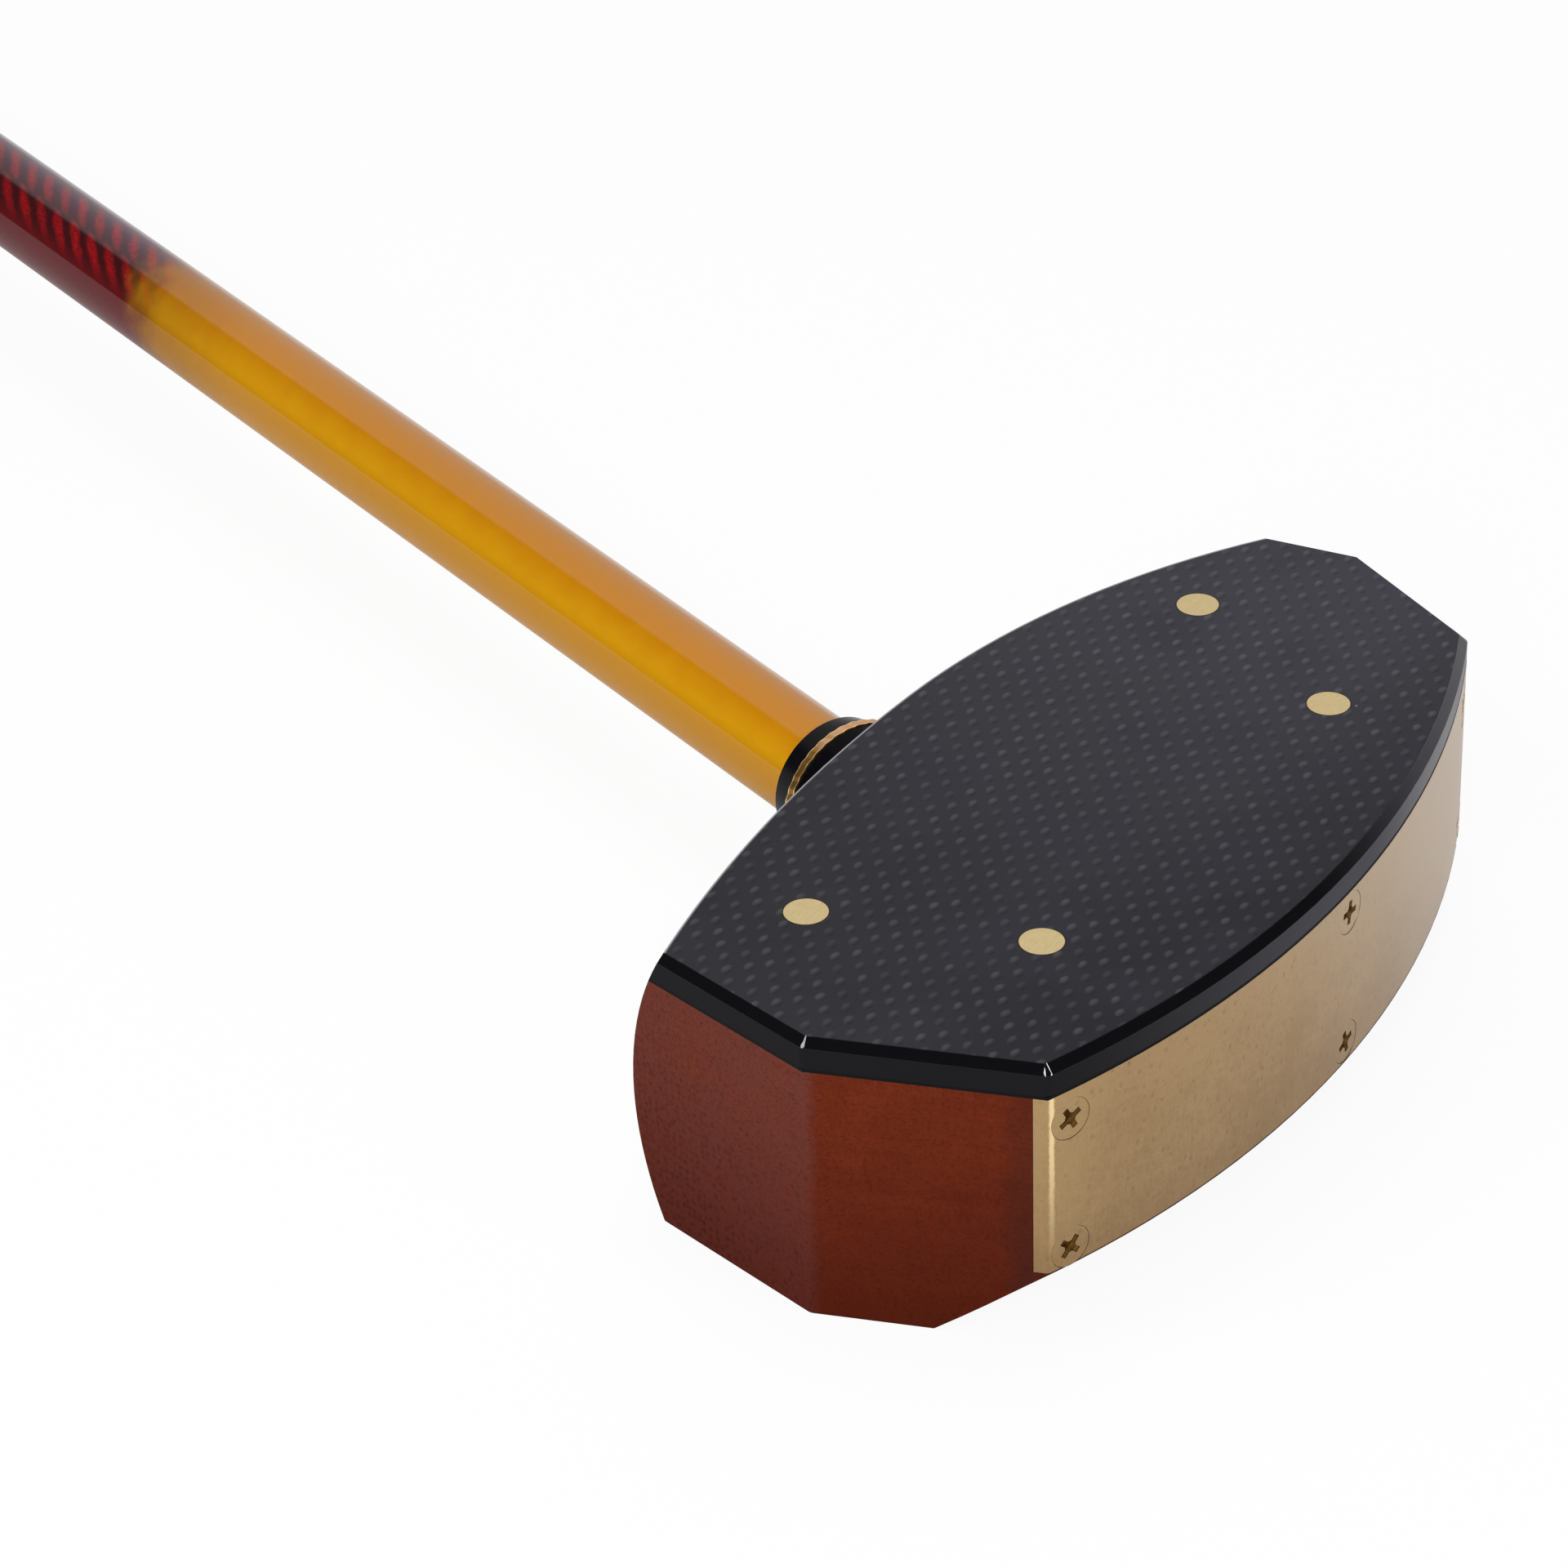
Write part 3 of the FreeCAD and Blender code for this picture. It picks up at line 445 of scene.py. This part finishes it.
def makeScrewBrass(name, outward, level):
    material, board = newMaterial(name)
    place = board.place()
    sunk = level - board.along(place, tuple(outward))
    colour, height = satin(board, place)
    recessShadeWobble = board.noise(place, 1.8, 2.0)
    # Painted shade in the cross recess, darker deeper in
    wall = board.ease(sunk + recessShadeWobble * 0.12, 0.10, 0.34)
    deep = board.ease(sunk + recessShadeWobble * 0.3, 0.5, 0.95)
    colour = board.blend(wall, colour, brass["recess"])
    colour = board.blend(deep, colour, brass["deepRecessShade"])
    board.surface({"Base Color": colour, "Metallic": 1 - wall * 0.65, "Roughness": 0.30 + height * 0.12,
                   "Normal": board.dent(height, 0.02, 0.3)})
    return material


def makeSlugBrass():
    material, board = newMaterial("turnedBrass")
    marks = board.noise(board.stretch(board.place(), (0.2, 4.0, 0.2)), 3.0, 2.0)
    board.surface({"Base Color": board.blend(marks, brass["slugDark"], brass["slug"]), "Metallic": 1.0,
                   "Roughness": 0.3 + marks * 0.15})
    return material


dress(makeSoleBrass(), "sole_plate")
dress(makePinBrass(), *[name for name in nodes if name.startswith("face_pin")])
dress(makeSlugBrass(), "toe_weight", "heel_weight")
for spot, x in brass["screwX"].items():
    outward = squareOut(x)
    pair = [f"sole_screw_{spot}_front", f"sole_screw_{spot}_rear"]
    level = max(outward.dot(vertex.co) for vertex in nodes[pair[0]].data.vertices) * 1000
    dress(makeScrewBrass(spot + "ScrewBrass", outward, level), *pair)
print("stage: brass")

# Shaft: a woven tube under lacquer that runs from amber at the head into deep red
shaft = {
    "amber": paint(205, 147, 9), "amberTopShade": paint(186, 118, 2), "amberLowShade": paint(190, 130, 8),
    "turning": paint(96, 52, 12), "red": paint(150, 15, 21), "redDark": paint(58, 11, 15),
    "plainRed": paint(94, 18, 23), "purpleReflection": paint(72, 22, 54),
    "clipReach": 37.0,  # from the lower ring's seat to the clip in the record, in mm
    "radius": 6.5,  # of the tube
    "turn": (154.0, 166.5), "earlyTurn": (132.0, 160.0), "turnSlant": 2.2,  # where amber gives way to red
    "topSide": (-58, -8), "lowSide": (-52, -72), "purpleSide": (-28, 15),  # degrees round from straight up, bounding the painted shade on the top and low sides and the painted purple reflection
    "stripePitch": 4.6, "stripesPerTurn": 18, "rows": 8, "rowStart": -43.0, "brightSide": -17.0,
    "towLean": 0.6, "towLong": 0.25, "towWide": 0.46,
}
faceWay = Vector((0, 0, 1))
clip = next(mount for mount in frame["record"]["mounts"] if mount["name"] == "shaft_clip")
shaftWay = Vector(clip["axis"]).normalized()
shaftSeat = Vector(clip["pos_m"]) - shaftWay * shaft["clipReach"] / 1000
sideWay = shaftWay.cross(faceWay).normalized()


def shaftPlace(board):  # place from the ring's seat, reach along the shaft, angle from straight up
    place = board.shift(board.place(), tuple(-shaftSeat * 1000))
    along = board.along(place, tuple(shaftWay))
    angle = board.add("Math", {"operation": "ARCTAN2"},
                      [board.along(place, tuple(sideWay)), board.split(place)[2]])
    return place, along, angle


def wovenRed(board, place, along, angle):  # red tows in rows round the shaft, on darker red
    slope = shaft["stripesPerTurn"] * shaft["stripePitch"] / (2 * math.pi)
    wobble = board.noise(place, 0.5, 2.0)
    stripe = (along - angle * slope) / shaft["stripePitch"] + wobble * 0.30 - 0.21
    fromRow = angle - math.radians(shaft["rowStart"])
    row = fromRow * (shaft["rows"] / (2 * math.pi)) + wobble * 0.16 + 0.42
    offStripe, offRow = stripe.rest() - 0.5, row.rest() - 0.5
    reach = (abs(offStripe + offRow * shaft["towLean"]) / shaft["towLong"]) ** 2.0
    reach = reach + (abs(offRow) / shaft["towWide"]) ** 2.4
    unrolled = board.join(along, angle * shaft["radius"], 0.0)
    threads = board.noise(board.stretch(unrolled, (0.6, 3.0, 1.0)), 1.6, 3.0, 0.6)
    tow = board.ease(reach + threads * 1.2 - 0.6, 2.3, -0.6) * board.ease(threads, 0.36, 0.58, 0.30, 1.15)
    # Painted glint: the tows are lit only on two opposite sides of the tube, and the red under them changes
    # with it
    glintLobe = (angle * 2.0 + (math.pi / 2 - math.radians(2 * shaft["brightSide"]))).wave() * 0.5 + 0.5
    glintLobe = board.ease(glintLobe, 0.30, 0.85)
    tow = tow * (glintLobe * 0.8 + 0.02 + glintLobe * board.chance(stripe.whole(), row.whole()) * 0.3)
    dark = board.blend(glintLobe, shaft["plainRed"], shaft["redDark"])
    # Painted reflection: purple on the upper side
    dark = board.blend(board.sector(angle, shaft["purpleSide"]) * 0.85, dark, shaft["purpleReflection"])
    return board.blend(tow, dark, shaft["red"])


def makeShaftLacquer():
    material, board = newMaterial("shaftLacquer")
    place, along, angle = shaftPlace(board)
    ragged = board.noise(place, 0.3, 3.0) - 0.5
    slanted = along - angle * shaft["turnSlant"]
    turn = board.ease(slanted + ragged * 8.0, *shaft["turn"])
    early = board.ease(slanted + ragged * 6.0, *shaft["earlyTurn"])
    lowSide = board.sector(angle, shaft["lowSide"])
    topSide = board.sector(angle + ragged * 0.3 + 0.15, shaft["topSide"])
    # Painted shade round the tube: deeper amber on the top side and on the low side
    colour = board.blend(topSide, shaft["amber"], shaft["amberTopShade"])
    colour = board.blend(lowSide, colour, shaft["amberLowShade"])
    colour = board.blend(early * 0.34, colour, shaft["turning"])
    colour = board.blend(turn, colour, wovenRed(board, place, along, angle))
    board.surface({"Base Color": colour, "Roughness": 0.5, "Specular IOR Level": 0.0,
                   "Coat Weight": 1 - lowSide * 0.52, "Coat Roughness": 0.03})
    return material


# Trim rings: gloss black and cut gold, and the plain hidden pieces
rings = {
    "black": paint(7, 7, 9), "blackHaze": paint(13, 13, 16),
    # low: painted shade for the ring's lower side
    "gold": paint(206, 158, 110), "goldLight": paint(228, 182, 140), "low": paint(150, 112, 52),
    "rimHighlight": paint(250, 205, 140), "rimHighlightFrom": 0.20, "rimHighlightFull": 0.08, "lowSide": (-22, -36),
}
plain = {  # piece: its material, two colours, roughness and size of grain
    "tip_plug": ("plugPlastic", paint(40, 40, 42), paint(56, 56, 58), 0.6, 3.0),
    "grip_tape": ("tapeFabric", paint(190, 184, 160), paint(214, 208, 186), 0.8, 5.0),
    "grip_cap": ("capRubber", paint(18, 18, 20), paint(26, 26, 28), 0.6, 3.0),
}


def makeGlossBlack():
    material, board = newMaterial("glossBlack")
    haze = board.noise(board.place(), 1.2, 3.0)
    board.surface({"Base Color": board.blend(haze, rings["black"], rings["blackHaze"]),
                   "Roughness": 0.16 + haze * 0.08, "Specular IOR Level": 0.03})
    return material


def makeGold():
    material, board = newMaterial("goldTrim")
    place, along, angle = shaftPlace(board)
    reaches = [shaftWay.dot(vertex.co - shaftSeat) * 1000 for vertex in nodes["gold_ring"].data.vertices]
    fromEdge = (along - min(reaches)).least(max(reaches) - along)
    haze = board.noise(place, 2.0, 3.0)
    colour = board.blend(haze, rings["gold"], rings["goldLight"])
    # Painted shade: darker on the ring's lower side
    colour = board.blend(board.sector(angle, rings["lowSide"]), colour, rings["low"])
    # Painted highlight along both rims
    rimHighlight = board.ease(fromEdge, rings["rimHighlightFrom"], rings["rimHighlightFull"])
    colour = board.blend(rimHighlight, colour, rings["rimHighlight"])
    board.surface({"Base Color": colour, "Metallic": 1.0, "Roughness": 0.34 + haze * 0.12})
    return material


def makePlain(name, first, second, rough, scale):
    material, board = newMaterial(name)
    grain = board.noise(board.place(), scale, 3.0)
    board.surface({"Base Color": board.blend(grain, first, second), "Roughness": rough,
                   "Normal": board.dent(grain, 0.03, 0.4)})
    return material


dress(makeShaftLacquer(), "shaft")
dress(makeGlossBlack(), "lower_ring", "upper_collar", "grip_ring")
dress(makeGold(), "gold_ring")
for piece, finish in plain.items():
    dress(makePlain(*finish), piece)
print("stage: shaft and rings")

# Grip: a soft strap wound round the sleeve, with smooth collars at both ends
grip = {
    "start": 510.0, "length": 262.0,  # in mm, along the shaft from the lower ring's seat
    "mouth": 10.6, "waist": 11.35, "butt": 13.2, "bore": 7.45, "boreEnd": 7.95,  # radii
    "around": 96, "rows": 430, "edgeRows": (0.15, 0.35),
    "wrapPitch": 24.0, "lap": 0.55, "swell": 0.12, "seamDepth": 0.5, "seamHalf": 0.045,
    "collar": 9.0, "collarBlend": 1.5, "grooveHalf": 0.9, "grooveDepth": 0.35, "edge": 0.9,
    "beadPitch": 2.4, "beadsPerTurn": 24.0, "dark": paint(22, 22, 24), "light": paint(42, 42, 45),
}


def smoothStep(value, start, end):
    t = min(max((value - start) / (end - start), 0.0), 1.0)
    return t * t * (3 - 2 * t)


def gripRadius(along, turn):  # outside radius of the grip in mm
    share = along / grip["length"]
    base = grip["mouth"] * (1 - share) * (1 - 2 * share) + grip["waist"] * 4 * share * (1 - share)
    base += grip["butt"] * share * (2 * share - 1)
    fromEnd = min(along, grip["length"] - along)
    wound = smoothStep(fromEnd, grip["collar"] - grip["collarBlend"], grip["collar"] + grip["collarBlend"])
    wrap = (along / grip["wrapPitch"] - turn) % 1.0
    seam = max(0.0, 1.0 - min(wrap, 1 - wrap) / grip["seamHalf"])
    relief = grip["lap"] * (0.35 - 0.5 * wrap) + grip["swell"] * math.sin(math.pi * wrap)
    relief -= grip["seamDepth"] * seam ** 1.5
    groove = max(0.0, 1.0 - abs(fromEnd - grip["collar"]) / grip["grooveHalf"])
    edge = grip["edge"] * (1 - math.sqrt(max(0.0, 1 - (1 - min(fromEnd / grip["edge"], 1.0)) ** 2)))
    return base + relief * wound - grip["grooveDepth"] * groove - edge


def makeGrip():
    points, faces = [], []
    around = grip["around"]

    def addLoop(along, radii):
        centre = shaftSeat + shaftWay * (grip["start"] + along) / 1000
        for k in range(around):
            turn = 2 * math.pi * k / around
            outward = sideWay * math.sin(turn) + faceWay * math.cos(turn)
            points.append(centre + outward * radii[k] / 1000)

    stations = [grip["length"] * i / grip["rows"] for i in range(grip["rows"] + 1)]
    stations += grip["edgeRows"]
    stations += [grip["length"] - near for near in grip["edgeRows"]]
    for along in sorted(stations):
        addLoop(along, [gripRadius(along, k / around) for k in range(around)])
    addLoop(grip["length"], [grip["boreEnd"]] * around)
    addLoop(0.0, [grip["bore"]] * around)
    loops = len(stations) + 2
    for i in range(loops):
        here, there = i * around, (i + 1) % loops * around
        for k in range(around):
            beside = (k + 1) % around
            faces.append((here + k, there + k, there + beside, here + beside))
    mesh = bpy.data.meshes.new("gripWrap")
    mesh.from_pydata(points, [], faces)
    mesh.polygons.foreach_set("use_smooth", [True] * len(mesh.polygons))
    mesh.update()
    piece = bpy.data.objects.new("grip_wrap", mesh)
    bpy.context.scene.collection.objects.link(piece)
    mesh.materials.append(makeGripRubber())
    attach(piece, "root")
    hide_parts("grip_sleeve")


def makeGripRubber():
    material, board = newMaterial("gripRubber")
    place, along, angle = shaftPlace(board)
    grain = board.noise(place, 1.6, 3.0, 0.6)
    turns = angle * (1 / (2 * math.pi))
    wrap = ((along - grip["start"]) / grip["wrapPitch"] - turns).rest()
    rising = (along / grip["beadPitch"] + turns * grip["beadsPerTurn"]).rest() - 0.5
    falling = (along / grip["beadPitch"] - turns * grip["beadsPerTurn"]).rest() - 0.5
    middle = board.ease(abs(wrap - 0.5), 0.40, 0.34)
    fromEnd = (along - grip["start"]).least(grip["start"] + grip["length"] - along)
    wound = board.ease(fromEnd, grip["collar"] + 0.5, grip["collar"] + 2.5)
    bead = board.ease((rising * rising + falling * falling) ** 0.5, 0.42, 0.12) * middle * wound
    wear = board.ease(board.noise(place, 0.25, 3.0) + grain * 0.3, 0.5, 0.85)
    colour = board.blend(grain * 0.5 + wear * 0.35 + bead * 0.25, grip["dark"], grip["light"])
    board.surface({"Base Color": colour, "Roughness": 0.62 + grain * 0.2 - wear * 0.12,
                   "Specular IOR Level": 0.35, "Normal": board.dent(bead + grain * 0.25, 0.28, 0.7)})
    return material


makeGrip()
print("stage: grip")

# White floor and backdrop, soft lamps and the camera of the photograph
studio = {
    "floorHalf": 5.0, "floorGlow": 0.93, "floorWhite": 0.85, "mirrored": 0.6,
    "brightSide": 0.70, "dimSide": 0.06, "brightLean": 10,
    "lamps": {  # direction from the object, power, width and height
        "overLamp": ((0.1, 0.05, 1.0), 4.0, 0.5, 0.5),
        "keyLamp": ((-0.604, 0.343, 0.719), 4.2, 0.7, 0.16),  # its long side lights up the toe corner
        "fillLamp": ((-0.75, -0.35, 0.55), 6.5, 0.4, 0.4),
        "toeCornerLamp": ((-0.41, -0.32, 0.78), 1.2, 0.14, 0.14),
        "soleCornerLamp": ((0.07, -0.72, 0.69), 1.2, 0.12, 0.12),
    },
    "lampDistance": 1.2, "lens": 125.517, "sensor": 36.0,
    "cameraPlace": (-0.416658, -0.280404, 0.364720), "cameraTurn": (56.8284, 1.6092, -53.1730),
}


def makeFloor():
    half = studio["floorHalf"]
    corners = [(-half, -half, 0), (half, -half, 0), (half, half, 0), (-half, half, 0)]
    mesh = bpy.data.meshes.new("studioFloor")
    mesh.from_pydata(corners, [], [(0, 1, 2, 3)])
    floor = bpy.data.objects.new("studioFloor", mesh)
    bpy.context.scene.collection.objects.link(floor)
    material, board = newMaterial("studioWhite")
    rays = board.add("LightPath").socket.node.outputs
    mirrored = Wire(board, rays["Is Glossy Ray"]) + Wire(board, rays["Is Transmission Ray"])
    seen = Wire(board, rays["Is Camera Ray"]) + mirrored * studio["mirrored"]
    white = studio["floorWhite"]
    matt = board.add("BsdfDiffuse", None, {"Color": (white, white, white, 1.0)})
    glow = board.add("Emission", None, {"Color": (1.0, 1.0, 1.0, 1.0), "Strength": 1.0})
    both = board.add("MixShader", None, [seen * studio["floorGlow"], matt, glow])
    board.add("OutputMaterial", None, [both])
    mesh.materials.append(material)


def makeWorld():  # white to the camera, and one bright and one dim side for what the lacquer mirrors
    world = bpy.data.worlds.new("studioWorld")
    world.use_nodes = True
    bpy.context.scene.world = world
    board = Board(world.node_tree)
    way = board.add("TexCoord", give=0)
    lean = math.radians(studio["brightLean"])
    brightWay = sideWay * math.cos(lean) + faceWay * math.sin(lean)
    half = board.ease(board.along(way, tuple(brightWay)), -0.05, 0.06)
    far = board.ease(board.along(way, tuple(shaftWay)), -0.25, 0.35)
    level = half * far * (studio["brightSide"] - studio["dimSide"]) + studio["dimSide"]
    seen = Wire(board, board.add("LightPath").socket.node.outputs["Is Camera Ray"])
    glow = board.add("Background", None,
                     {"Color": (1.0, 1.0, 1.0, 1.0), "Strength": level * (1 - seen) + seen})
    board.add("OutputWorld", None, [glow])


def addLamp(name, way, power, wide, tall):
    data = bpy.data.lights.new(name, "AREA")
    data.shape = "RECTANGLE"
    data.size, data.size_y = wide, tall
    data.energy = power
    lamp = bpy.data.objects.new(name, data)
    way = Vector(way).normalized()
    lamp.location = way * studio["lampDistance"]
    lamp.rotation_euler = way.to_track_quat("Z", "Y").to_euler()
    bpy.context.scene.collection.objects.link(lamp)


def addCamera():
    data = bpy.data.cameras.new("photoCamera")
    data.lens = studio["lens"]
    data.sensor_width, data.sensor_height = studio["sensor"], studio["sensor"]
    data.sensor_fit = "HORIZONTAL"
    data.clip_start, data.clip_end = 0.02, 50.0
    camera = bpy.data.objects.new("photoCamera", data)
    camera.location = studio["cameraPlace"]
    camera.rotation_euler = [math.radians(turn) for turn in studio["cameraTurn"]]
    bpy.context.scene.collection.objects.link(camera)
    bpy.context.scene.camera = camera


makeFloor()
makeWorld()
for name, settings in studio["lamps"].items():
    addLamp(name, *settings)
addCamera()
bpy.context.scene.view_settings.view_transform = "Standard"
print("stage: floor, light and camera")
